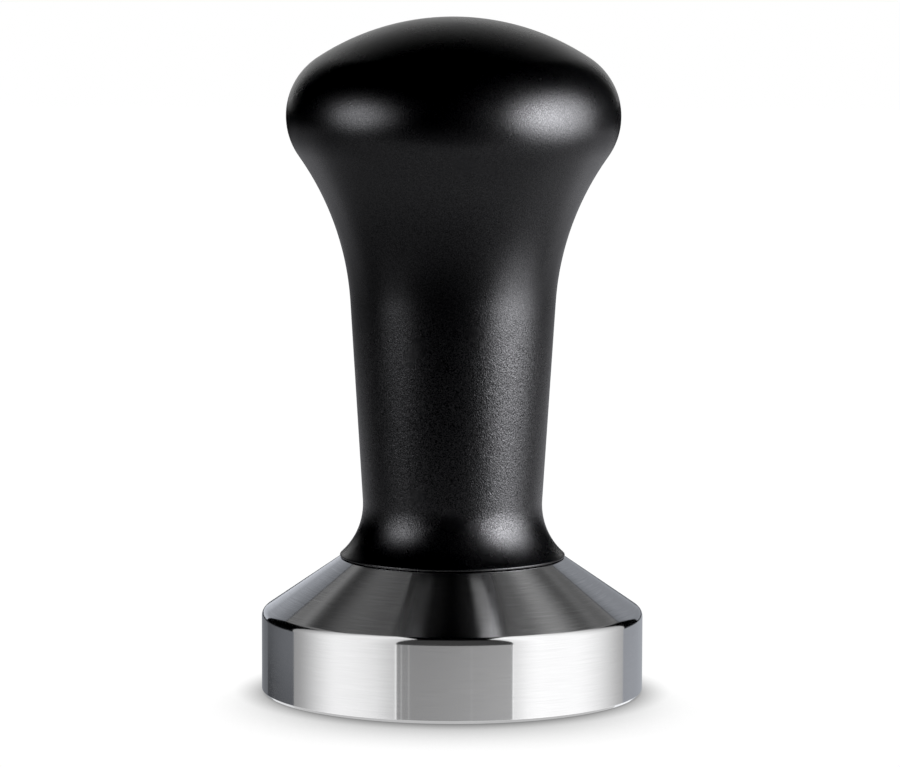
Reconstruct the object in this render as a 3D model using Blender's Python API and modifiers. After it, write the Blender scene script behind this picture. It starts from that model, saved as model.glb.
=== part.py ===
"""Espresso tamper: a turned stainless steel base, a turned black anodised aluminium handle, the M8 stud that
joins them and the rubber ring between them. Metres, +Z up, origin at the centre of the base's underside.

The handle unscrews from the base on a real M8 x 1.25 right-hand thread. The stud is bonded into the handle, the
base has the blind tapped hole, and every thread is cut on one common helix, so they are in mesh at rest."""

import math

import bmesh
import bpy

MM = 0.001

# Base: a disc with a straight rim, a rounded shoulder and a conical top that ends in a flat land.
BASE_RADIUS = 25.5 * MM
BASE_HEIGHT = 18.0 * MM
LAND_RADIUS = 15.0 * MM
SHOULDER_HEIGHT = 10.8 * MM
SHOULDER_FILLET = 1.2 * MM
BOTTOM_CHAMFER = 0.4 * MM
LAND_CHAMFER = 0.15 * MM

# Handle: a flared foot, a slender tapered shank and a wide head with a shallow dome.
JOINT_GAP = 0.1 * MM
TOTAL_HEIGHT = 90.0 * MM
FOOT_RADIUS = 15.05 * MM
FOOT_EDGE_FILLET = 0.2 * MM
FLARE_RADIUS = 9.0 * MM
WAIST_RADIUS = 12.0 * MM
SHANK_TAPER = math.radians(3.6)
NECK_RADIUS = 37.5 * MM
HEAD_RADIUS = 22.2 * MM
HEAD_EDGE_RADIUS = 9.2 * MM
DOME_RADIUS = 32.75 * MM
FOOT_HEIGHT = BASE_HEIGHT + JOINT_GAP

# Seal ring: a round rubber cord squeezed to an oval in a groove in the handle's underside.
GROOVE_INNER_RADIUS = 7.0 * MM
GROOVE_OUTER_RADIUS = 9.6 * MM
GROOVE_DEPTH = 1.6 * MM
RING_SIDE_GAP = 0.15 * MM
RING_FACE_GAP = 0.02 * MM

# Thread: M8 x 1.25, basic profile in the holes, and the same profile thinned for clearance on the stud.
PITCH = 1.25 * MM
THREAD_RADIUS = 4.0 * MM
FLANK_ANGLE = math.radians(30.0)
THREAD_DEPTH = 0.625 * math.sqrt(0.75) * PITCH
THREAD_CLEARANCE = 0.08 * MM
THREAD_OVERCUT = 0.1 * MM
TAP_DRILL_RADIUS = THREAD_RADIUS - THREAD_DEPTH
HOLE_MOUTH_RADIUS = 4.45 * MM
DRILL_POINT_ANGLE = math.radians(59.0)
BASE_HOLE_DEPTH = 10.0 * MM
HANDLE_HOLE_DEPTH = 15.0 * MM
BLIND_END = 1.25 * MM

# Stud: a set screw with a hexagon socket in its lower end.
STUD_LENGTH = 20.0 * MM
STUD_PROJECTION = 8.2 * MM
STUD_CHAMFER = 1.0 * MM
SOCKET_ACROSS_FLATS = 4.0 * MM
SOCKET_DEPTH = 4.0 * MM

# Facets round a full turn.
BASE_STEPS = 72
HANDLE_STEPS = 48
STUD_STEPS = 24
THREAD_STEPS = 24
RING_STEPS = 36
CORD_STEPS = 10
MERGE_DISTANCE = 1e-7
SHARP_ANGLE = math.radians(25.0)


def clear_scene():
    for obj in list(bpy.data.objects):
        bpy.data.objects.remove(obj)


def new_collection(name):
    collection = bpy.data.collections.new(name)
    bpy.context.scene.collection.children.link(collection)
    return collection


def new_material(name, colour, roughness, metallic):
    material = bpy.data.materials.new(name)
    material.use_nodes = True
    surface = material.node_tree.nodes["Principled BSDF"]
    surface.inputs["Base Color"].default_value = (*colour, 1.0)
    surface.inputs["Roughness"].default_value = roughness
    surface.inputs["Metallic"].default_value = metallic
    return material


def arc(centre, radius, start, end, steps):
    """Points (x, z) along an arc, both ends included."""
    angles = [start + (end - start) * i / steps for i in range(steps + 1)]
    return [(centre[0] + radius * math.cos(a), centre[1] + radius * math.sin(a)) for a in angles]


def direction(start, end):
    return math.atan2(end[1] - start[1], end[0] - start[0])


def object_from_bmesh(name, shape, collection):
    mesh = bpy.data.meshes.new(name)
    shape.to_mesh(mesh)
    shape.free()
    obj = bpy.data.objects.new(name, mesh)
    collection.objects.link(obj)
    return obj


def turned(name, profile, steps, collection):
    """A solid of revolution. The profile runs from the axis, down its outer side and back to the axis."""
    shape = bmesh.new()
    verts = [shape.verts.new((x, 0.0, z)) for x, z in profile]
    for first, second in zip(verts, verts[1:]):
        shape.edges.new((first, second))
    obj = object_from_bmesh(name, shape, collection)
    screw = obj.modifiers.new("turn", "SCREW")
    screw.axis = "Z"
    screw.steps = steps
    screw.render_steps = steps
    screw.use_merge_vertices = True
    screw.merge_threshold = MERGE_DISTANCE
    return obj


def thread_cutter(name, section, start_height, turns, collection):
    """A closed section (x, z), held at angle 0 and start_height, swept up the common right-hand helix."""
    shape = bmesh.new()
    verts = [shape.verts.new((x, 0.0, z + start_height)) for x, z in section]
    face = shape.faces.new(verts)
    steps = round(turns * THREAD_STEPS)
    bmesh.ops.spin(
        shape,
        geom=[face, *face.edges, *face.verts],
        cent=(0.0, 0.0, 0.0),
        axis=(0.0, 0.0, 1.0),
        dvec=(0.0, 0.0, PITCH / THREAD_STEPS),
        angle=2.0 * math.pi * steps / THREAD_STEPS,
        steps=steps,
    )
    bmesh.ops.recalc_face_normals(shape, faces=shape.faces)
    return as_cutter(object_from_bmesh(name, shape, collection))


def as_cutter(obj):
    obj.hide_render = True
    obj.display_type = "WIRE"
    return obj


def cut(obj, cutter):
    boolean = obj.modifiers.new("cut_" + cutter.name, "BOOLEAN")
    boolean.operation = "DIFFERENCE"
    boolean.object = cutter


def half_width(radius):
    """Half the axial width of the V groove that the basic profile leaves in a hole's wall, at this radius."""
    return PITCH / 16 + (THREAD_RADIUS - radius) * math.tan(FLANK_ANGLE)


def hole_thread_section():
    inner = TAP_DRILL_RADIUS - THREAD_OVERCUT
    wide = half_width(inner)
    narrow = half_width(THREAD_RADIUS)
    return [(inner, -wide), (THREAD_RADIUS, -narrow), (THREAD_RADIUS, narrow), (inner, wide)]


def stud_thread_section():
    """The groove between the stud's ridges, widened and deepened by the clearance."""
    root = TAP_DRILL_RADIUS - THREAD_CLEARANCE
    outer = THREAD_RADIUS + THREAD_OVERCUT
    narrow = PITCH / 2 - half_width(root) + THREAD_CLEARANCE
    wide = PITCH / 2 - half_width(outer) + THREAD_CLEARANCE
    return [(root, -narrow), (outer, -wide), (outer, wide), (root, narrow)]


def drill_cutter(name, depth, upward, collection):
    """A drill with a conical point and a chamfered mouth. Its origin is at the hole's mouth."""
    way = 1 if upward else -1
    chamfer = HOLE_MOUTH_RADIUS - TAP_DRILL_RADIUS
    point = TAP_DRILL_RADIUS / math.tan(DRILL_POINT_ANGLE)
    profile = [
        (0.0, way * (depth + point)),
        (TAP_DRILL_RADIUS, way * depth),
        (TAP_DRILL_RADIUS, way * chamfer),
        (HOLE_MOUTH_RADIUS + THREAD_OVERCUT, -way * THREAD_OVERCUT),
        (0.0, -way * THREAD_OVERCUT),
    ]
    if not upward:
        profile.reverse()
    return as_cutter(turned(name, profile, THREAD_STEPS, collection))


def helix_start(height, offset=0.0):
    """The highest height not above this one where the common helix, shifted by offset, passes angle 0."""
    return math.floor((height - offset) / PITCH) * PITCH + offset


def cone_angle():
    return math.atan2(BASE_HEIGHT - SHOULDER_HEIGHT, BASE_RADIUS - LAND_RADIUS)


def base_profile():
    cone = cone_angle()
    turn = math.pi / 2 - cone
    set_back = SHOULDER_FILLET * math.tan(turn / 2)
    shoulder = (BASE_RADIUS - SHOULDER_FILLET, SHOULDER_HEIGHT - set_back)
    land_edge = LAND_CHAMFER * math.cos(cone), LAND_CHAMFER * math.sin(cone)
    return [
        (0.0, BASE_HEIGHT),
        (LAND_RADIUS - LAND_CHAMFER, BASE_HEIGHT),
        (LAND_RADIUS + land_edge[0], BASE_HEIGHT - land_edge[1]),
        *arc(shoulder, SHOULDER_FILLET, math.pi / 2 - cone, 0.0, 4),
        (BASE_RADIUS, BOTTOM_CHAMFER),
        (BASE_RADIUS - BOTTOM_CHAMFER, 0.0),
        (0.0, 0.0),
    ]


def build_base(parts, cutters):
    base = turned("base", base_profile(), BASE_STEPS, parts)
    drill = drill_cutter("base_drill", BASE_HOLE_DEPTH, False, cutters)
    drill.location.z = BASE_HEIGHT
    cut(base, drill)
    first = helix_start(BASE_HEIGHT - BASE_HOLE_DEPTH + BLIND_END)
    turns = math.ceil((BASE_HEIGHT + PITCH - first) / PITCH)
    cut(base, thread_cutter("base_tap", hole_thread_section(), first, turns, cutters))
    return base


def handle_outline():
    """The handle's outer side, top to bottom: dome, head edge, neck, straight taper, flare and foot edge, each
    tangent to the next. Heights are above the handle's underside."""
    top = TOTAL_HEIGHT - FOOT_HEIGHT
    dome = (0.0, top - DOME_RADIUS)
    head_x = HEAD_RADIUS - HEAD_EDGE_RADIUS
    head = (head_x, dome[1] + math.sqrt((DOME_RADIUS - HEAD_EDGE_RADIUS) ** 2 - head_x**2))

    foot = (FOOT_RADIUS - FOOT_EDGE_FILLET, FOOT_EDGE_FILLET)
    flare_x = WAIST_RADIUS + FLARE_RADIUS * math.cos(SHANK_TAPER)
    reach = FLARE_RADIUS + FOOT_EDGE_FILLET
    flare = (flare_x, foot[1] + math.sqrt(reach**2 - (flare_x - foot[0]) ** 2))

    # The neck's centre lies on a line parallel to the taper, and one head edge plus one neck radius away
    # from the head edge's centre.
    step = (math.sin(SHANK_TAPER), math.cos(SHANK_TAPER))
    start_x = flare[0] + (NECK_RADIUS - FLARE_RADIUS) * step[1]
    start_z = flare[1] - (NECK_RADIUS - FLARE_RADIUS) * step[0]
    off_x, off_z = start_x - head[0], start_z - head[1]
    along = off_x * step[0] + off_z * step[1]
    apart = off_x**2 + off_z**2 - (HEAD_EDGE_RADIUS + NECK_RADIUS) ** 2
    travel = -along - math.sqrt(along**2 - apart)
    neck = (start_x + travel * step[0], start_z + travel * step[1])

    dome_end = direction(dome, head)
    head_end = direction(head, neck)
    waist = math.pi - SHANK_TAPER
    flare_end = direction(flare, foot)
    return [
        *arc(dome, DOME_RADIUS, math.pi / 2, dome_end, 6),
        *arc(head, HEAD_EDGE_RADIUS, dome_end, 0.0, 5)[1:],
        *arc(head, HEAD_EDGE_RADIUS, 0.0, head_end, 4)[1:],
        *arc(neck, NECK_RADIUS, head_end + math.pi, waist, 7)[1:],
        *arc(flare, FLARE_RADIUS, waist, flare_end + 2 * math.pi, 6),
        *arc(foot, FOOT_EDGE_FILLET, flare_end + math.pi, -math.pi / 2, 3)[1:],
    ]


def handle_profile():
    return [
        *handle_outline(),
        (GROOVE_OUTER_RADIUS, 0.0),
        (GROOVE_OUTER_RADIUS, GROOVE_DEPTH),
        (GROOVE_INNER_RADIUS, GROOVE_DEPTH),
        (GROOVE_INNER_RADIUS, 0.0),
        (0.0, 0.0),
    ]


def build_handle(parts, cutters):
    handle = turned("handle", handle_profile(), HANDLE_STEPS, parts)
    drill = drill_cutter("handle_drill", HANDLE_HOLE_DEPTH, True, cutters)
    for obj in (handle, drill):
        obj.location.z = FOOT_HEIGHT
    cut(handle, drill)
    first = helix_start(FOOT_HEIGHT - PITCH)
    turns = math.floor((FOOT_HEIGHT + HANDLE_HOLE_DEPTH - BLIND_END - first) / PITCH)
    cut(handle, thread_cutter("handle_tap", hole_thread_section(), first, turns, cutters))
    return handle


def build_stud(parts, cutters):
    """The stud's origin is at its lower end, which hangs below the handle's underside."""
    outer = THREAD_RADIUS - THREAD_CLEARANCE
    tip = outer - STUD_CHAMFER
    profile = [
        (0.0, STUD_LENGTH),
        (tip, STUD_LENGTH),
        (outer, STUD_LENGTH - STUD_CHAMFER),
        (outer, STUD_CHAMFER),
        (tip, 0.0),
        (0.0, 0.0),
    ]
    stud = turned("threaded_stud", profile, STUD_STEPS, parts)
    bottom = FOOT_HEIGHT - STUD_PROJECTION
    stud.location.z = bottom
    first = helix_start(bottom - PITCH, PITCH / 2)
    turns = math.ceil((bottom + STUD_LENGTH + PITCH - first) / PITCH)
    cut(stud, thread_cutter("stud_die", stud_thread_section(), first, turns, cutters))

    bpy.ops.mesh.primitive_cylinder_add(
        vertices=6,
        radius=SOCKET_ACROSS_FLATS / math.sqrt(3.0),
        depth=2.0 * SOCKET_DEPTH,
        location=(0.0, 0.0, bottom),
    )
    socket = bpy.context.object
    socket.name = "stud_socket"
    for owner in list(socket.users_collection):
        owner.objects.unlink(socket)
    cutters.objects.link(socket)
    cut(stud, as_cutter(socket))
    return stud


def build_seal_ring(parts):
    """A torus whose cord is squeezed from round to oval, lying in the handle's groove."""
    middle = (GROOVE_INNER_RADIUS + GROOVE_OUTER_RADIUS) / 2
    half_wide = (GROOVE_OUTER_RADIUS - GROOVE_INNER_RADIUS) / 2 - RING_SIDE_GAP
    half_high = (GROOVE_DEPTH + JOINT_GAP) / 2 - RING_FACE_GAP
    bpy.ops.mesh.primitive_torus_add(
        major_radius=middle,
        minor_radius=half_wide,
        major_segments=RING_STEPS,
        minor_segments=CORD_STEPS,
        location=(0.0, 0.0, 0.0),
    )
    ring = bpy.context.object
    ring.name = "seal_ring"
    for vertex in ring.data.vertices:
        vertex.co.z *= half_high / half_wide
    for owner in list(ring.users_collection):
        owner.objects.unlink(ring)
    parts.objects.link(ring)
    ring.location.z = BASE_HEIGHT + (GROOVE_DEPTH + JOINT_GAP) / 2
    return ring


def freeze(obj, material):
    """Makes the modifiers' result the object's own mesh, smooth except at its real edges."""
    evaluated = obj.evaluated_get(bpy.context.evaluated_depsgraph_get())
    mesh = bpy.data.meshes.new_from_object(evaluated)
    mesh.name = obj.name
    obj.modifiers.clear()
    obj.data = mesh
    mesh.materials.clear()
    mesh.materials.append(material)
    mesh.shade_smooth()
    mesh.set_sharp_from_angle(angle=SHARP_ANGLE)


def attach(child, parent):
    """Parents one piece to another without moving it, in the order in which the joints carry them."""
    bpy.context.view_layer.update()
    place = child.matrix_world.copy()
    child.parent = parent
    child.matrix_world = place


def main():
    clear_scene()
    parts = new_collection("espresso_tamper")
    cutters = new_collection("cutters")

    base = build_base(parts, cutters)
    handle = build_handle(parts, cutters)
    stud = build_stud(parts, cutters)
    ring = build_seal_ring(parts)

    bpy.context.view_layer.update()
    freeze(base, new_material("stainless_steel", (0.62, 0.62, 0.63), 0.22, 1.0))
    freeze(handle, new_material("black_anodised_aluminium", (0.012, 0.012, 0.013), 0.42, 0.6))
    freeze(stud, new_material("stud_steel", (0.45, 0.45, 0.46), 0.35, 1.0))
    freeze(ring, new_material("nitrile_rubber", (0.02, 0.02, 0.02), 0.7, 0.0))

    attach(ring, base)
    attach(handle, ring)
    attach(stud, handle)


main()
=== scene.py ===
"""The looks of the espresso tamper: a finely turned steel base, a bead-blasted and black anodised handle,
the threaded stud and the rubber ring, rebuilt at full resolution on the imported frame, in a small studio."""

import math

import bpy
from mathutils import Matrix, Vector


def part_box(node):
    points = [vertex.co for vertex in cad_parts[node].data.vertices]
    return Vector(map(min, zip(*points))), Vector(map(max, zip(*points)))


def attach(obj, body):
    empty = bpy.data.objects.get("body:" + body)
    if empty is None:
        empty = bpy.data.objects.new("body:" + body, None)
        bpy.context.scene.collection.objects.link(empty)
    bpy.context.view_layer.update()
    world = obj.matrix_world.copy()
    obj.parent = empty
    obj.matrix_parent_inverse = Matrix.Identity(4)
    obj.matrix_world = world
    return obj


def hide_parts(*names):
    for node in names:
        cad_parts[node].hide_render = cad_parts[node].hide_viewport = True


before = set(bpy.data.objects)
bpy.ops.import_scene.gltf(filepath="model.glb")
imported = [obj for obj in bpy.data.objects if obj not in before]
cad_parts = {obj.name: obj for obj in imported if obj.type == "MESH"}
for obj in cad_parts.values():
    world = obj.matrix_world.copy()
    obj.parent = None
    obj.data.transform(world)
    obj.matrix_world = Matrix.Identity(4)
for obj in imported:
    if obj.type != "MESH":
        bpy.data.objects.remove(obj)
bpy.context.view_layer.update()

MM = 0.001

# Fineness of the turned shapes.
SEGMENTS = 240
STUD_SEGMENTS = 120
EDGE_STEPS = 5
DOME_STEPS = 22
HEAD_EDGE_STEPS = 40
NECK_STEPS = 28
TAPER_STEPS = 6
FLARE_STEPS = 26
FOOT_EDGE_STEPS = 8
CORD_STEPS = 48
ROWS_PER_PITCH = 16
SUPPORT = 0.04 * MM

# The frame's own sizes.
BASE_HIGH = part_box("base")[1]
HANDLE_LOW, HANDLE_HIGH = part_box("handle")
STUD_LOW, STUD_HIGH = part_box("threaded_stud")
RING_LOW, RING_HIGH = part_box("seal_ring")
BASE_RADIUS = BASE_HIGH.x
BASE_HEIGHT = BASE_HIGH.z
HEAD_RADIUS = HANDLE_HIGH.x
FOOT_HEIGHT = HANDLE_LOW.z
TOTAL_HEIGHT = HANDLE_HIGH.z
STUD_RADIUS = STUD_HIGH.x
RING_RADIUS = RING_HIGH.x

# Base details.
LAND_RADIUS = 15.0 * MM
SHOULDER_HEIGHT = 10.8 * MM
SHOULDER_FILLET = 1.2 * MM
BOTTOM_CHAMFER = 0.4 * MM
EDGE_BREAK = 0.08 * MM

# Handle details.
FOOT_RADIUS = 15.05 * MM
FOOT_EDGE_FILLET = 0.2 * MM
FLARE_RADIUS = 9.0 * MM
WAIST_RADIUS = 12.0 * MM
SHANK_TAPER = math.radians(3.6)
NECK_RADIUS = 37.5 * MM
HEAD_EDGE_RADIUS = 9.2 * MM
DOME_RADIUS = 32.75 * MM
GROOVE_INNER_RADIUS = 7.0 * MM
GROOVE_OUTER_RADIUS = 9.6 * MM
GROOVE_DEPTH = 1.6 * MM

# M8 x 1.25 thread, on one common helix that passes angle 0 at every whole pitch above the base's underside.
# Its flats are an eighth of a pitch wide at the full radius and a quarter of a pitch at the drill's radius.
PITCH = 1.25 * MM
THREAD_RADIUS = 4.0 * MM
THREAD_DEPTH = 0.625 * math.sqrt(0.75) * PITCH
THREAD_TAN = math.tan(math.radians(30.0))
HALF_FLAT = PITCH / 8.0 / 2.0
THREAD_CLEARANCE = THREAD_RADIUS - STUD_RADIUS
TAP_DRILL_RADIUS = THREAD_RADIUS - THREAD_DEPTH
HOLE_MOUTH_RADIUS = 4.45 * MM
BASE_HOLE_DEPTH = 10.0 * MM
HANDLE_HOLE_DEPTH = 15.0 * MM
BLIND_END = 1.25 * MM
DRILL_POINT = TAP_DRILL_RADIUS / math.tan(math.radians(59.0))
STUD_CHAMFER = 1.0 * MM
SOCKET_ACROSS_FLATS = 4.0 * MM
SOCKET_DEPTH = 4.0 * MM
SOCKET_POINT = SOCKET_ACROSS_FLATS / 6.0
SIXTH_TURN = math.pi / 3.0


# ---------------------------------------------------------------- turned shapes


def new_object(name, data):
    obj = bpy.data.objects.new(name, data)
    bpy.context.scene.collection.objects.link(obj)
    return obj


def arc(centre, radius, start, end, steps):
    """Points (x, z) along an arc, both ends included."""
    angles = [start + (end - start) * i / steps for i in range(steps + 1)]
    return [(centre[0] + radius * math.cos(a), centre[1] + radius * math.sin(a)) for a in angles]


def between(start, end, steps):
    """Points (x, z) along a straight line, both ends left out."""
    run, rise = end[0] - start[0], end[1] - start[1]
    return [(start[0] + run * i / steps, start[1] + rise * i / steps) for i in range(1, steps)]


def direction(start, end):
    return math.atan2(end[1] - start[1], end[0] - start[0])


def rounded(corners):
    """A profile through corners (x, z, edge radius), each corner rounded. A support point on either side of
    every rounding makes the flats beside it shade flat."""
    points = [corners[0][:2]]
    for before, corner, after in zip(corners, corners[1:], corners[2:]):
        x, z, radius = corner
        way_in = direction((x, z), before)
        way_out = direction((x, z), after)
        turn = (way_out - way_in + math.pi) % (2.0 * math.pi) - math.pi
        set_back = radius / math.tan(abs(turn) / 2.0)
        middle = way_in + turn / 2.0
        reach = radius / math.sin(abs(turn) / 2.0)
        centre = (x + reach * math.cos(middle), z + reach * math.sin(middle))
        start = (x + set_back * math.cos(way_in), z + set_back * math.sin(way_in))
        first = direction(centre, start)
        swing = -math.copysign(math.pi - abs(turn), turn)
        support = set_back + SUPPORT
        points.append((x + support * math.cos(way_in), z + support * math.sin(way_in)))
        points.extend(arc(centre, radius, first, first + swing, EDGE_STEPS))
        points.append((x + support * math.cos(way_out), z + support * math.sin(way_out)))
    points.append(corners[-1][:2])
    return points


def lathe(name, rings, segments=SEGMENTS, closed=False):
    """A turned solid. A ring is (radius, height); its radius may be a function of the angle and height."""
    verts, rows = [], []
    for radius, height in rings:
        if radius == 0.0:
            rows.append([len(verts)])
            verts.append((0.0, 0.0, height))
            continue
        row = []
        for i in range(segments):
            angle = 2.0 * math.pi * i / segments
            reach = radius(angle, height) if callable(radius) else radius
            row.append(len(verts))
            verts.append((reach * math.cos(angle), reach * math.sin(angle), height))
        rows.append(row)
    pairs = list(zip(rows, rows[1:]))
    if closed:
        pairs.append((rows[-1], rows[0]))
    faces = []
    for upper, lower in pairs:
        for i in range(segments):
            j = (i + 1) % segments
            left = [upper[i % len(upper)], lower[i % len(lower)]]
            right = [lower[j % len(lower)], upper[j % len(upper)]]
            faces.append(tuple(dict.fromkeys(left + right)))
    mesh = bpy.data.meshes.new(name)
    mesh.from_pydata(verts, [], faces)
    mesh.shade_smooth()
    mesh.validate()
    return new_object(name, mesh)


def thread_phase(angle, height):
    """Axial distance from the common helix."""
    return (height - PITCH * angle / (2.0 * math.pi) + PITCH / 2.0) % PITCH - PITCH / 2.0


def hole_thread(angle, height):
    """Radius of a tapped hole's wall."""
    rise = THREAD_DEPTH - (abs(thread_phase(angle, height)) - HALF_FLAT) / THREAD_TAN
    return TAP_DRILL_RADIUS + min(max(rise, 0.0), THREAD_DEPTH)


def stud_thread(angle, height):
    """Radius of the stud: the hole's profile thinned by the clearance on every face, and end chamfers."""
    rise = THREAD_DEPTH - (abs(thread_phase(angle, height)) + THREAD_CLEARANCE - HALF_FLAT) / THREAD_TAN
    ridge = TAP_DRILL_RADIUS + min(max(rise, -THREAD_CLEARANCE), THREAD_DEPTH - THREAD_CLEARANCE)
    from_end = min(height - STUD_LOW.z, STUD_HIGH.z - height)
    return min(ridge, STUD_RADIUS - STUD_CHAMFER + from_end)


def thread_rows(radius, start, end):
    """Rings along a thread, evenly spaced."""
    count = max(2, round(abs(end - start) / PITCH * ROWS_PER_PITCH))
    return [(radius, start + (end - start) * i / count) for i in range(count + 1)]


def tapped_hole(mouth_height, depth, way):
    """Rings from the drill point out to the mouth. The way is +1 for a hole that goes up and -1 for one
    that goes down."""

    def wall(angle, height):
        flare = HOLE_MOUTH_RADIUS - abs(height - mouth_height)
        return max(hole_thread(angle, height), flare)

    full = mouth_height + way * (depth - BLIND_END)
    return [
        (0.0, mouth_height + way * (depth + DRILL_POINT)),
        (TAP_DRILL_RADIUS - EDGE_BREAK, mouth_height + way * (depth + EDGE_BREAK)),
        (TAP_DRILL_RADIUS, mouth_height + way * depth),
        (TAP_DRILL_RADIUS, full + way * SUPPORT),
        *thread_rows(wall, full, mouth_height + way * EDGE_BREAK),
    ]


def base_rings():
    """The tapped hole, the land, the cone, the rim and the underside."""
    outer = rounded(
        [
            (HOLE_MOUTH_RADIUS + EDGE_BREAK, BASE_HEIGHT, 0.0),
            (LAND_RADIUS, BASE_HEIGHT, EDGE_BREAK),
            (BASE_RADIUS, SHOULDER_HEIGHT, SHOULDER_FILLET),
            (BASE_RADIUS, BOTTOM_CHAMFER, EDGE_BREAK),
            (BASE_RADIUS - BOTTOM_CHAMFER, 0.0, EDGE_BREAK),
            (0.0, 0.0, 0.0),
        ]
    )
    return [*tapped_hole(BASE_HEIGHT, BASE_HOLE_DEPTH, -1), *outer]


def handle_outline():
    """The handle's outer side, top to bottom: dome, head edge, neck, straight taper, flare and foot edge,
    each tangent to the next."""
    dome = (0.0, TOTAL_HEIGHT - DOME_RADIUS)
    head_x = HEAD_RADIUS - HEAD_EDGE_RADIUS
    head = (head_x, dome[1] + math.sqrt((DOME_RADIUS - HEAD_EDGE_RADIUS) ** 2 - head_x**2))

    foot = (FOOT_RADIUS - FOOT_EDGE_FILLET, FOOT_HEIGHT + FOOT_EDGE_FILLET)
    flare_x = WAIST_RADIUS + FLARE_RADIUS * math.cos(SHANK_TAPER)
    reach = FLARE_RADIUS + FOOT_EDGE_FILLET
    flare = (flare_x, foot[1] + math.sqrt(reach**2 - (flare_x - foot[0]) ** 2))

    # The neck's centre lies on a line parallel to the taper, one head edge plus one neck radius away from
    # the head edge's centre.
    step = (math.sin(SHANK_TAPER), math.cos(SHANK_TAPER))
    start_x = flare[0] + (NECK_RADIUS - FLARE_RADIUS) * step[1]
    start_z = flare[1] - (NECK_RADIUS - FLARE_RADIUS) * step[0]
    off_x, off_z = start_x - head[0], start_z - head[1]
    along = off_x * step[0] + off_z * step[1]
    apart = off_x**2 + off_z**2 - (HEAD_EDGE_RADIUS + NECK_RADIUS) ** 2
    travel = -along - math.sqrt(along**2 - apart)
    neck = (start_x + travel * step[0], start_z + travel * step[1])

    dome_end = direction(dome, head)
    head_end = direction(head, neck)
    waist = math.pi - SHANK_TAPER
    flare_end = direction(flare, foot)
    shank = arc(neck, NECK_RADIUS, head_end + math.pi, waist, NECK_STEPS)
    flare_arc = arc(flare, FLARE_RADIUS, waist, flare_end + 2.0 * math.pi, FLARE_STEPS)
    points = [
        *arc(dome, DOME_RADIUS, math.pi / 2, dome_end, DOME_STEPS),
        *arc(head, HEAD_EDGE_RADIUS, dome_end, head_end, HEAD_EDGE_STEPS)[1:],
        *shank[1:],
        *between(shank[-1], flare_arc[0], TAPER_STEPS),
        *flare_arc,
        *arc(foot, FOOT_EDGE_FILLET, flare_end + math.pi, -math.pi / 2, FOOT_EDGE_STEPS)[1:],
    ]
    # The top lies exactly on the axis, so that the lathe closes it in a point.
    points[0] = (0.0, TOTAL_HEIGHT)
    return points


def handle_rings():
    """The outer side, the underside with the ring's groove, and the tapped hole."""
    floor = FOOT_HEIGHT + GROOVE_DEPTH
    under = rounded(
        [
            (FOOT_RADIUS - FOOT_EDGE_FILLET - SUPPORT, FOOT_HEIGHT, 0.0),
            (GROOVE_OUTER_RADIUS, FOOT_HEIGHT, EDGE_BREAK),
            (GROOVE_OUTER_RADIUS, floor, 2.0 * EDGE_BREAK),
            (GROOVE_INNER_RADIUS, floor, 2.0 * EDGE_BREAK),
            (GROOVE_INNER_RADIUS, FOOT_HEIGHT, EDGE_BREAK),
            (HOLE_MOUTH_RADIUS + EDGE_BREAK, FOOT_HEIGHT, 0.0),
        ]
    )
    hole = tapped_hole(FOOT_HEIGHT, HANDLE_HOLE_DEPTH, 1)
    return [*handle_outline(), *under, *reversed(hole)]


def stud_rings():
    """The flat top, the thread, and the socket in the lower end."""

    def socket(angle, height):
        sector = angle % SIXTH_TURN - SIXTH_TURN / 2.0
        return SOCKET_ACROSS_FLATS / 2.0 / math.cos(sector)

    floor = STUD_LOW.z + SOCKET_DEPTH
    return [
        (0.0, STUD_HIGH.z),
        (STUD_RADIUS - STUD_CHAMFER - SUPPORT, STUD_HIGH.z),
        *thread_rows(stud_thread, STUD_HIGH.z, STUD_LOW.z),
        (socket, STUD_LOW.z),
        (socket, STUD_LOW.z + SUPPORT),
        (socket, floor - SUPPORT),
        (socket, floor),
        (0.0, floor + SOCKET_POINT),
    ]


def ring_rings():
    """The cord's oval section, as rings all the way round it."""
    middle = (GROOVE_INNER_RADIUS + GROOVE_OUTER_RADIUS) / 2.0
    half_wide = RING_RADIUS - middle
    half_high = (RING_HIGH.z - RING_LOW.z) / 2.0
    centre = (RING_HIGH.z + RING_LOW.z) / 2.0
    rings = []
    for i in range(CORD_STEPS):
        angle = -2.0 * math.pi * i / CORD_STEPS
        rings.append((middle + half_wide * math.cos(angle), centre + half_high * math.sin(angle)))
    return rings


# ---------------------------------------------------------------- materials

# Turned steel. Its lines have one depth and contrast on the rim and another on the cone, and change over
# just above the shoulder. Its roughness lies between two values, and its highlights are drawn out across
# the lines.
STEEL_TONE = 0.63
STEEL_BLUE = 1.008
LINE_DEPTH = (0.3e-7, 2.5e-7)
LINE_CONTRAST = (0.08, 0.36)
LINE_CHANGE = 0.5 * MM
BROAD_CONTRAST = 0.015
STEEL_ROUGHNESS = (0.09, 0.11)
QUARTER_TURN = 0.25

# Blasted anodise. Its roughness lies between two values. Its grain and its sheen change with the height, as
# (height, level) steps. The sheen dips up the shank and most under the head: painted shade on its highlights.
ANODISE_BLACK = (0.0012, 0.0012, 0.0013, 1.0)
ANODISE_IOR = 1.65
ANODISE_ROUGHNESS = (0.265, 0.295)
DENTS_PER_METRE = 5400.0
DENT_DEPTH = 16e-6
DUST_HEIGHT = 1.6
SPARKLE = 0.70
GRAIN_BY_HEIGHT = [(0.0222, 0.6), (0.0235, 1.0), (0.044, 1.0), (0.056, 0.4), (0.066, 0.5)]
SHEEN_WITH_PAINTED_SHADE_BY_HEIGHT = [(0.018, 0.56), (0.025, 0.50), (0.030, 0.45), (0.036, 0.42), (0.051, 0.42),
                   (0.056, 0.35), (0.061, 0.35), (0.069, 0.5)]
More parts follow.
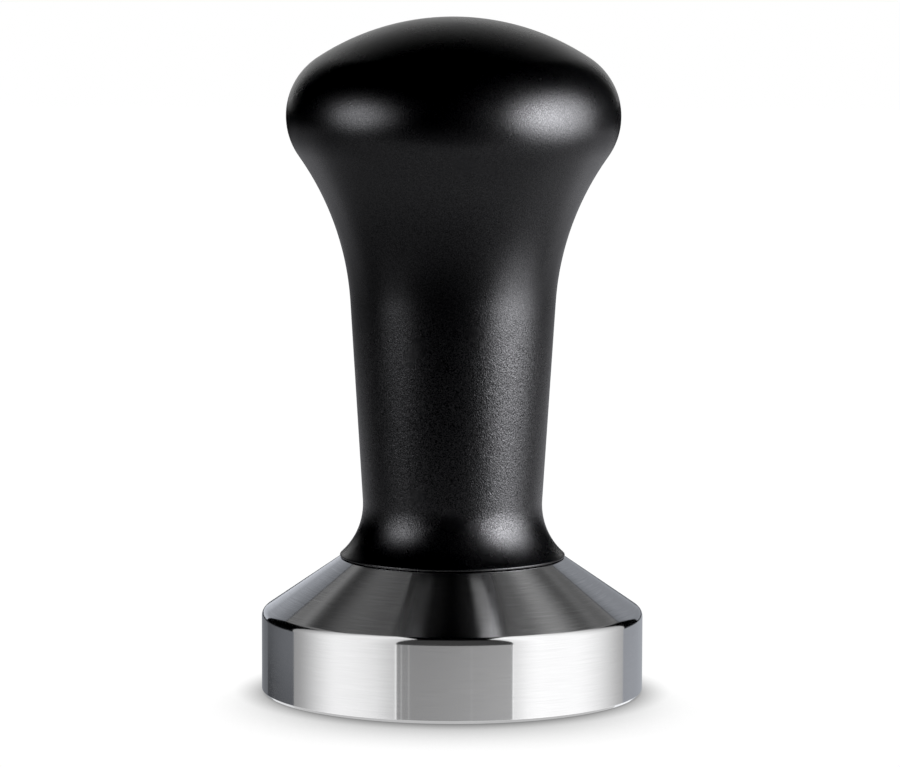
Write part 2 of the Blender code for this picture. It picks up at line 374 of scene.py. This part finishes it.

# Threaded steel, in the roots and on the crests. The darker tone in the roots is painted shade.
THREAD_TONE_WITH_PAINTED_SHADE = (0.30, 0.52)
THREAD_ROUGHNESS = (0.42, 0.28)
THREAD_BLUE = 1.02
THREAD_MOTTLE = (0.85, 1.1)

# Rubber, where it is clean and where it has bloomed.
RUBBER_TONE = (0.012, 0.03)
RUBBER_ROUGHNESS = (0.55, 0.7)


class Nodes:
    """Short calls for building a node tree."""

    def __init__(self, owner):
        owner.use_nodes = True
        self.tree = owner.node_tree
        self.tree.nodes.clear()

    def add(self, kind, settings=None, **inputs):
        node = self.tree.nodes.new(kind)
        for key, value in (settings or {}).items():
            setattr(node, key, value)
        for key, value in inputs.items():
            self.set(node, key, value)
        return node

    def set(self, node, key, value):
        """Links or sets an input, which is given by its name or its place."""
        socket = node.inputs[key]
        if isinstance(value, bpy.types.NodeSocket):
            self.tree.links.new(value, socket)
        else:
            socket.default_value = value

    def result(self, kind, settings, values):
        """The output of a node, from its inputs in their own order."""
        node = self.add(kind, settings)
        for i, value in enumerate(values):
            self.set(node, i, value)
        return node.outputs[0]

    def math(self, operation, *values):
        return self.result("ShaderNodeMath", {"operation": operation}, values)

    def ramp(self, value, low, high, out_low=0.0, out_high=1.0, kind="SMOOTHSTEP"):
        """The value's way from low to high, as a way from out_low to out_high."""
        values = (value, low, high, out_low, out_high)
        return self.result("ShaderNodeMapRange", {"interpolation_type": kind}, values)

    def steps(self, value, levels):
        """Smooth steps through (place, level) pairs."""
        total = levels[0][1]
        for (start, before), (end, after) in zip(levels, levels[1:]):
            if after != before:
                total = self.math("ADD", total, self.ramp(value, start, end, 0.0, after - before))
        return total

    def bell(self, place, centre, size):
        """A soft oval spot in a plane: 1 in its centre, falling to 0 at its size along either axis."""
        across, up = (
            self.math("DIVIDE", self.math("SUBTRACT", here, middle), reach)
            for here, middle, reach in zip(place, centre, size)
        )
        return self.ramp(self.distance(across, up), 0.0, 1.0, 1.0, 0.0)

    def distance(self, x, y):
        """Distance from the origin."""
        return self.math("SQRT", self.math("ADD", self.math("MULTIPLY", x, x), self.math("MULTIPLY", y, y)))

    def position(self):
        """The place in the piece's own coordinates, in metres."""
        return self.add("ShaderNodeTexCoord").outputs["Object"]

    def split(self, vector):
        return self.add("ShaderNodeSeparateXYZ", Vector=vector).outputs[:]

    def combine(self, x, y, z):
        return self.add("ShaderNodeCombineXYZ", X=x, Y=y, Z=z).outputs[0]

    def noise(self, vector, scale, detail=2.0, roughness=0.5):
        inputs = {"Vector": vector, "Scale": scale, "Detail": detail, "Roughness": roughness}
        return self.add("ShaderNodeTexNoise", **inputs).outputs["Fac"]

    def spread(self, noise, low=0.0, high=1.0):
        """A noise, whose values mostly lie near its middle, spread out from low to high."""
        return self.ramp(noise, 0.3, 0.7, low, high, "LINEAR")

    def swing(self, noise, size):
        """A noise that goes either way from zero."""
        return self.math("MULTIPLY", self.math("SUBTRACT", noise, 0.5), size)

    def grey(self, tone, blue=1.0):
        """A grey, a little bluish where blue is above 1."""
        inputs = {"Red": tone, "Green": tone, "Blue": self.math("MULTIPLY", tone, blue)}
        return self.add("ShaderNodeCombineColor", **inputs).outputs[0]

    def bump(self, strength, distance, height):
        return self.add("ShaderNodeBump", Strength=strength, Distance=distance, Height=height).outputs[0]

    def mix(self, share, first, second):
        """The first shader where the share is 0 and the second where it is 1."""
        values = (share, first.outputs[0], second.outputs[0])
        return self.result("ShaderNodeMixShader", None, values)

    def surface(self, shader):
        self.add("ShaderNodeOutputMaterial", Surface=shader)

    def principled(self, **inputs):
        """The material's shader. An underscore in an input's name stands for a space."""
        shader = self.add("ShaderNodeBsdfPrincipled")
        for key, value in inputs.items():
            self.set(shader, key.replace("_", " "), value)
        self.surface(shader.outputs[0])


def turned_steel():
    """Bright stainless steel with the fine rings that a lathe tool leaves round the axis. They are stronger
    on the cone than on the ground rim."""
    material = bpy.data.materials.new("turned_stainless_steel")
    n = Nodes(material)
    x, y, z = n.split(n.position())
    radius = n.distance(x, y)
    along = n.math("SUBTRACT", radius, z)
    round_x = n.math("DIVIDE", x, radius)
    round_y = n.math("DIVIDE", y, radius)

    def rings(per_metre, per_turn, detail):
        """Noise drawn out round the axis."""
        vector = n.combine(
            n.math("MULTIPLY", along, per_metre),
            n.math("MULTIPLY", round_x, per_turn),
            n.math("MULTIPLY", round_y, per_turn),
        )
        return n.noise(vector, scale=1.0, detail=detail)

    on_cone = n.ramp(z, SHOULDER_HEIGHT, SHOULDER_HEIGHT + LINE_CHANGE)
    feed = rings(per_metre=9000.0, per_turn=5.0, detail=2.0)
    polish = rings(per_metre=12000.0, per_turn=7.0, detail=2.0)
    broad = rings(per_metre=1100.0, per_turn=5.0, detail=1.0)
    lines = n.swing(feed, n.ramp(on_cone, 0.0, 1.0, *LINE_CONTRAST, "LINEAR"))
    shade = n.swing(broad, BROAD_CONTRAST)
    tone = n.math("ADD", STEEL_TONE, n.math("ADD", lines, shade))
    depth = n.ramp(on_cone, 0.0, 1.0, *LINE_DEPTH)
    tangent = n.add("ShaderNodeTangent", {"direction_type": "RADIAL", "axis": "Z"})
    n.principled(
        Base_Color=n.grey(tone, STEEL_BLUE),
        Metallic=1.0,
        Roughness=n.spread(polish, *STEEL_ROUGHNESS),
        Anisotropic=1.0,
        Anisotropic_Rotation=QUARTER_TURN,
        Tangent=tangent.outputs[0],
        Normal=n.bump(strength=1.0, distance=depth, height=feed),
    )
    return material


def blasted_anodise():
    """Black anodised aluminium over a bead-blasted surface: a close field of tiny shallow dents, some of
    which catch more light than others. The blast is coarser on the shank than on the head and the foot."""
    material = bpy.data.materials.new("bead_blasted_black_anodise")
    n = Nodes(material)
    position = n.position()
    z = n.split(position)[2]
    coarse = n.steps(z, GRAIN_BY_HEIGHT)
    dents = n.add("ShaderNodeTexVoronoi", {"feature": "F1"}, Vector=position, Scale=DENTS_PER_METRE)
    dust = n.noise(position, scale=7000.0, detail=1.0)
    height = n.math("ADD", dents.outputs["Distance"], n.math("MULTIPLY", dust, DUST_HEIGHT))
    depth = n.math("MULTIPLY", coarse, DENT_DEPTH)
    grains = n.spread(n.noise(position, scale=6500.0, detail=1.0))
    sparkle = n.swing(grains, n.math("MULTIPLY", coarse, SPARKLE))
    # The sheen dips up the shank and under the head: painted shade that dims the highlights there.
    sheen_with_painted_shade = n.steps(z, SHEEN_WITH_PAINTED_SHADE_BY_HEIGHT)
    cloud = n.noise(position, scale=220.0, detail=3.0)
    n.principled(
        Base_Color=ANODISE_BLACK,
        Metallic=0.0,
        Roughness=n.spread(cloud, *ANODISE_ROUGHNESS),
        IOR=ANODISE_IOR,
        Specular_IOR_Level=n.math("ADD", sheen_with_painted_shade, sparkle),
        Normal=n.bump(strength=1.0, distance=depth, height=height),
    )
    return material


def thread_steel():
    """Plain machined steel, rougher in the thread's roots and darker there with painted shade."""
    material = bpy.data.materials.new("threaded_steel")
    n = Nodes(material)
    position = n.position()
    x, y, z = n.split(position)
    crest = n.ramp(n.distance(x, y), TAP_DRILL_RADIUS - THREAD_CLEARANCE, STUD_RADIUS)
    grain = n.noise(position, scale=3500.0, detail=3.0)
    # Darker towards the roots: painted shade.
    plain = n.ramp(crest, 0.0, 1.0, *THREAD_TONE_WITH_PAINTED_SHADE, "LINEAR")
    tone = n.math("MULTIPLY", plain, n.ramp(grain, 0.2, 0.8, *THREAD_MOTTLE, "LINEAR"))
    n.principled(
        Base_Color=n.grey(tone, THREAD_BLUE),
        Metallic=1.0,
        Roughness=n.ramp(crest, 0.0, 1.0, *THREAD_ROUGHNESS),
        Normal=n.bump(strength=0.3, distance=3e-6, height=grain),
    )
    return material


def nitrile_rubber():
    """Matt black rubber with a faint bloom."""
    material = bpy.data.materials.new("nitrile_rubber")
    n = Nodes(material)
    position = n.position()
    bloom = n.noise(position, scale=900.0, detail=4.0, roughness=0.6)
    grain = n.noise(position, scale=9000.0)
    n.principled(
        Base_Color=n.grey(n.ramp(bloom, 0.3, 0.8, *RUBBER_TONE)),
        Metallic=0.0,
        Roughness=n.ramp(bloom, 0.3, 0.8, *RUBBER_ROUGHNESS),
        Normal=n.bump(strength=0.4, distance=4e-6, height=grain),
    )
    return material


# ---------------------------------------------------------------- studio

# Soft boxes stand on either side of the tamper. The base and the handle each have their own set of cards,
# which never lie in the same plane. All places are in metres from the middle of the base's underside.
SIDE = 0.130
FRONT = -0.150
RIGHT_CORNER = (SIDE, 0.065)
LEFT_CORNER = (-SIDE, 0.026)
DIM_CORNER = (-0.094, 0.108)
FAR_CORNER = (0.0, 0.30)
BOX_TOP = 0.45
TABLE = -0.10
SKIRT_TOP = -0.002
HORIZON = -0.003
CEILING = 0.70

HANDLE_RIGHT = 0.243
HANDLE_TABLE = -0.001
HANDLE_BACK = 0.66
HANDLE_BACK_LOW = 0.09
HANDLE_BACK_TOP = 0.85

COOL = (0.97, 0.97, 1.02)
BLUISH = (0.93, 0.97, 1.05)
NEUTRAL = (1.0, 1.0, 1.0)

SKY_TINT = (0.93, 0.96, 1.0, 1.0)
SKY_GLOW = 0.004
WHITE = (1.0, 1.0, 1.0, 1.0)

# The floor glows, and a painted shadow darkens it: a wide one and a close one. Each has a reach, and a curve
# from how open a place is (between the first two values) to how bright it is (between the last two). The
# painted shadow leans back, so most of it falls in front of the tamper.
FLOOR_HALF = 2.5
FLOOR_HEIGHT = -0.02 * MM
WIDE_REACH = 24.0 * MM
WIDE_CURVE = (0.0, 0.84, 0.0, 1.02)
CLOSE_REACH = 4.0 * MM
CLOSE_CURVE = (0.5, 1.0, 0.6, 1.0)
SHADOW_SAMPLES = 24
PAINTED_SHADOW_LEAN = (0.0, 0.94, 0.34)

# The camera stands in front of the tamper and looks slightly down.
SENSOR_WIDTH = 36.0
LENS = 156.8
CAMERA_PLACE = (-0.38 * MM, -0.520, 0.094)
CAMERA_DOWN = math.radians(5.79)
CAMERA_ROLL = math.radians(0.16)
CLIP_START = 0.01
CLIP_END = 20.0
BLACK_LEVEL = (0.0025, 0.0025, 0.0025)


def glow_card(name, corners, tint, glow, receivers):
    """A flat light card that only the receivers see. glow(nodes, x, y, z) gives its strength at a place."""
    mesh = bpy.data.meshes.new(name)
    mesh.from_pydata(corners, [], [tuple(range(len(corners)))])
    card = new_object(name, mesh)
    material = bpy.data.materials.new(name)
    n = Nodes(material)
    x, y, z = n.split(n.add("ShaderNodeNewGeometry").outputs["Position"])
    light = n.add("ShaderNodeEmission", Color=(*tint, 1.0), Strength=glow(n, x, y, z))
    clear = n.add("ShaderNodeBsdfTransparent")
    n.surface(n.result("ShaderNodeAddShader", None, (light.outputs[0], clear.outputs[0])))
    mesh.materials.append(material)
    card.visible_camera = False
    card.visible_shadow = False
    light_only(card, name + "_receivers", receivers)


def light_only(lamp, name, members):
    """Limits a light to the given objects."""
    receivers = bpy.data.collections.new(name)
    for member in members:
        receivers.objects.link(member)
    lamp.light_linking.receiver_collection = receivers


def upright(start, end, low, high):
    """Corners of a vertical card over the plan line from start to end."""
    return [(*start, low), (*end, low), (*end, high), (*start, high)]


def level(near, far, height):
    """Corners of a horizontal card between two opposite plan corners."""
    plan = [near, (far[0], near[1]), far, (near[0], far[1])]
    return [(x, y, height) for x, y in plan]


def even(strength):
    """The glow of a card that is equally bright all over."""
    return lambda n, x, y, z: strength


def light_the_base(receivers):
    """The cards that the base mirrors: walls all round it, a ceiling over it and a table below it."""

    def right(n, x, y, z):
        """Brightest a little in front of the tamper."""
        return n.steps(y, [(-0.190, 1.13), (-0.100, 1.52), (-0.045, 1.52), (0.075, 0.55)])

    def left(n, x, y, z):
        """Brightest a little in front of the tamper."""
        return n.steps(y, [(-0.212, 0.85), (-0.058, 1.34), (0.026, 0.45)])

    def front(n, x, y, z):
        """A grey card with thin bright lines down it, as (x, strength)."""
        bright_lines = [(-0.080, 0.27), (-0.066, 0.16), (0.028, 0.05)]
        half_wide = 0.002
        card = n.steps(x, [(-0.071, 0.385), (0.102, 0.53)])
        for place, glow in bright_lines:
            away = n.math("ABSOLUTE", n.math("SUBTRACT", x, place))
            card = n.math("ADD", card, n.ramp(away, 0.0, half_wide, glow, 0.0))
        return card

    def ceiling(n, x, y, z):
        """Strip lights that run away from the camera, as (x over height, strength) steps across them."""
        across = n.math("DIVIDE", x, CEILING)
        left_side = [(-1.004, 0.29), (-0.814, 0.195), (-0.787, 0.21), (-0.761, 0.38), (-0.745, 0.34),
                     (-0.713, 0.07), (-0.682, 0.025), (-0.497, 0.142), (-0.317, 0.09), (-0.291, 0.10),
                     (-0.264, 0.03), (-0.085, 0.0)]
        right_side = [(0.063, 0.0), (0.185, 0.34), (0.211, 0.27), (0.259, 0.02), (0.349, 0.085),
                      (0.486, 0.31), (0.507, 0.31), (0.655, 0.07), (0.676, 0.09), (0.719, 0.22),
                      (0.74, 0.18), (0.782, 0.13), (0.951, 0.30), (1.004, 0.31)]
        return n.steps(across, left_side + right_side)

    def glint(n, x, y, z):
        """What the lit handle throws onto the front of the cone, as (x over -y, strength) steps."""
        across = n.math("DIVIDE", x, n.math("MULTIPLY", y, -1.0))
        left_side = [(-0.70, 0.0), (-0.60, 0.026), (-0.40, 0.034), (-0.25, 0.009), (0.0, 0.003)]
        right_side = [(0.24, 0.01), (0.38, 0.18), (0.48, 0.185), (0.56, 0.04), (0.62, 0.0)]
        return n.steps(across, left_side + right_side)

    def back(n, x, y, z):
        """Each half has its own levels up the wall, and they meet in the middle."""
        left_half = n.steps(z, [(0.0, 0.72), (0.10, 0.55), (0.17, 0.40), (0.40, 0.25)])
        right_half = n.steps(z, [(0.0, 0.36), (0.10, 0.31), (0.28, 0.34), (0.40, 0.27)])
        side = n.ramp(x, -0.02, 0.02)
        other = n.math("SUBTRACT", 1.0, side)
        return n.math("ADD", n.math("MULTIPLY", side, right_half), n.math("MULTIPLY", other, left_half))

    def dim_side(n, x, y, z):
        """Dimmer towards the back and towards the table."""
        along = n.steps(y, [(0.022, 0.165), (0.10, 0.095)])
        return n.math("MULTIPLY", along, n.steps(z, [(-0.022, 0.85), (-0.012, 1.4)]))

    def left_end(n, x, y, z):
        """Brighter towards the back."""
        return n.steps(y, [(0.108, 0.19), (0.25, 0.32)])

    cards = [
        ("base_right", upright((SIDE, -0.190), RIGHT_CORNER, TABLE, BOX_TOP), NEUTRAL, right),
        ("base_left", upright((-SIDE, -0.212), LEFT_CORNER, TABLE, BOX_TOP), NEUTRAL, left),
        ("base_front", upright((-0.093, FRONT), (0.102, FRONT), -0.12, HORIZON), NEUTRAL, front),
        ("base_ceiling", level((-0.703, 0.04), (0.703, 1.085), CEILING), NEUTRAL, ceiling),
        ("base_glint", level((-0.014, -0.0215), (0.014, -0.0125), 0.030), NEUTRAL, glint),
        ("base_back", upright((-0.42, 0.62), (0.42, 0.62), 0.0, 0.40), BLUISH, back),
        ("base_dim", upright(LEFT_CORNER, DIM_CORNER, TABLE, SKIRT_TOP), BLUISH, dim_side),
        ("base_right_end", upright(RIGHT_CORNER, FAR_CORNER, TABLE, SKIRT_TOP), BLUISH, even(0.45)),
        ("base_left_end", upright(DIM_CORNER, FAR_CORNER, TABLE, SKIRT_TOP), BLUISH, left_end),
        ("base_dusk", upright((-0.20, FRONT), (0.20, FRONT), HORIZON, 0.20), NEUTRAL, even(0.06)),
        ("base_table", level((-0.30, -0.30), (0.30, 0.30), TABLE), NEUTRAL, even(0.75)),
    ]
    for name, corners, tint, glow in cards:
        glow_card(name, corners, tint, glow, receivers)


def light_the_handle(receivers):
    """The soft boxes, the table and the wall that the handle, the stud and the ring mirror."""

    def right(n, x, y, z):
        """A large bright spot, dimmer below."""
        spot = n.bell((y, z), centre=(-0.122, 0.089), size=(0.235, 0.190))
        return n.math("MULTIPLY", spot, n.steps(z, [(-0.06, 6.4), (0.05, 10.3)]))

    def left(n, x, y, z):
        """A smaller and dimmer spot."""
        spot = n.bell((y, z), centre=(-0.112, 0.098), size=(0.130, 0.115))
        return n.math("MULTIPLY", spot, 3.9)

    def table(n, x, y, z):
        """Dim in front, and brightest behind the tamper and to its right."""
        in_front = [(-0.32, 0.0), (-0.23, 0.04), (-0.17, 0.045), (-0.125, 0.05), (-0.098, 0.20)]
        behind = [(-0.06, 0.19), (0.0, 0.15), (0.04, 0.15), (0.12, 0.38), (0.20, 0.27)]
        away = n.steps(y, in_front + behind)
        across = n.steps(x, [(-0.22, 0.5), (-0.10, 1.25), (0.0, 1.35), (0.10, 1.75), (0.20, 1.15)])
        spot = n.bell((x, y), centre=(0.12, 0.03), size=(0.10, 0.10))
        return n.math("ADD", n.math("MULTIPLY", away, across), n.math("MULTIPLY", spot, 0.18))

    def back(n, x, y, z):
        """Fading upwards to nothing."""
        return n.steps(z, [(0.09, 0.74), (0.25, 0.64), (0.52, 0.20), (0.85, 0.0)])

    right_box = upright((HANDLE_RIGHT, -0.36), (HANDLE_RIGHT, 0.125), -0.11, 0.29)
    left_box = upright((-0.181, -0.235), (-0.301, 0.033), -0.02, 0.21)
    back_wall = upright((-0.36, HANDLE_BACK), (0.28, HANDLE_BACK), HANDLE_BACK_LOW, HANDLE_BACK_TOP)
    cards = [
        ("handle_right", right_box, COOL, right),
        ("handle_left", left_box, COOL, left),
        ("handle_table", level((-0.40, -0.34), (0.40, 0.60), HANDLE_TABLE), COOL, table),
        ("handle_back", back_wall, NEUTRAL, back),
    ]
    for name, corners, tint, glow in cards:
        glow_card(name, corners, tint, glow, receivers)


def build_world():
    """White to the camera, and all but dark to the tamper."""
    world = bpy.data.worlds.new("studio")
    bpy.context.scene.world = world
    n = Nodes(world)
    dim = n.add("ShaderNodeBackground", Color=SKY_TINT, Strength=SKY_GLOW)
    white = n.add("ShaderNodeBackground", Color=WHITE, Strength=1.0)
    seen = n.add("ShaderNodeLightPath").outputs["Is Camera Ray"]
    n.add("ShaderNodeOutputWorld", Surface=n.mix(seen, dim, white))


def build_floor():
    """A wide white floor that glows, with the tamper's soft shadow painted on it. It is clear from below."""
    mesh = bpy.data.meshes.new("floor")
    corners = level((-FLOOR_HALF, -FLOOR_HALF), (FLOOR_HALF, FLOOR_HALF), 0.0)
    mesh.from_pydata(corners, [], [tuple(range(len(corners)))])
    floor = new_object("floor", mesh)
    floor.location.z = FLOOR_HEIGHT
    material = bpy.data.materials.new("floor")
    n = Nodes(material)

    def shadow(curve, **inputs):
        """How bright a place on the floor is, from how open it is."""
        node = n.add("ShaderNodeAmbientOcclusion", {"samples": SHADOW_SAMPLES}, **inputs)
        return n.ramp(node.outputs["AO"], *curve, "LINEAR")

    wide = shadow(WIDE_CURVE, Distance=WIDE_REACH, Normal=n.combine(*PAINTED_SHADOW_LEAN))
    close = shadow(CLOSE_CURVE, Distance=CLOSE_REACH)
    # The floor's glow, darkened by both painted shadows.
    pale = n.add("ShaderNodeEmission", Strength=n.math("MULTIPLY", wide, close))
    clear = n.add("ShaderNodeBsdfTransparent")
    below = n.add("ShaderNodeNewGeometry").outputs["Backfacing"]
    n.surface(n.mix(below, pale, clear))
    mesh.materials.append(material)
    floor.visible_glossy = False
    floor.visible_diffuse = False
    floor.visible_shadow = False


def build_camera():
    data = bpy.data.cameras.new("camera")
    data.sensor_width = SENSOR_WIDTH
    data.lens = LENS
    data.clip_start = CLIP_START
    data.clip_end = CLIP_END
    camera = new_object("camera", data)
    place = Matrix.Translation(CAMERA_PLACE)
    pitch = Matrix.Rotation(math.pi / 2.0 - CAMERA_DOWN, 4, "X")
    camera.matrix_world = place @ pitch @ Matrix.Rotation(CAMERA_ROLL, 4, "Z")
    bpy.context.scene.camera = camera


def grade_the_picture():
    """A plain view, with the darkest tones drawn down to black."""
    view = bpy.context.scene.view_settings
    view.view_transform = "Standard"
    view.use_curve_mapping = True
    view.curve_mapping.black_level = BLACK_LEVEL
    view.curve_mapping.update()


# ---------------------------------------------------------------- assembly


def finish_piece(obj, material, body, node):
    obj.data.materials.append(material)
    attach(obj, body)
    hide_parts(node)


base = lathe("turned_base", base_rings())
finish_piece(base, turned_steel(), "base", "base")
handle = lathe("turned_handle", handle_rings())
finish_piece(handle, blasted_anodise(), "handle", "handle")
stud = lathe("set_screw", stud_rings(), STUD_SEGMENTS)
finish_piece(stud, thread_steel(), "handle", "threaded_stud")
ring = lathe("rubber_ring", ring_rings(), closed=True)
finish_piece(ring, nitrile_rubber(), "seal_ring", "seal_ring")

light_the_base([base])
light_the_handle([handle, stud, ring])
build_world()
build_floor()
build_camera()
grade_the_picture()
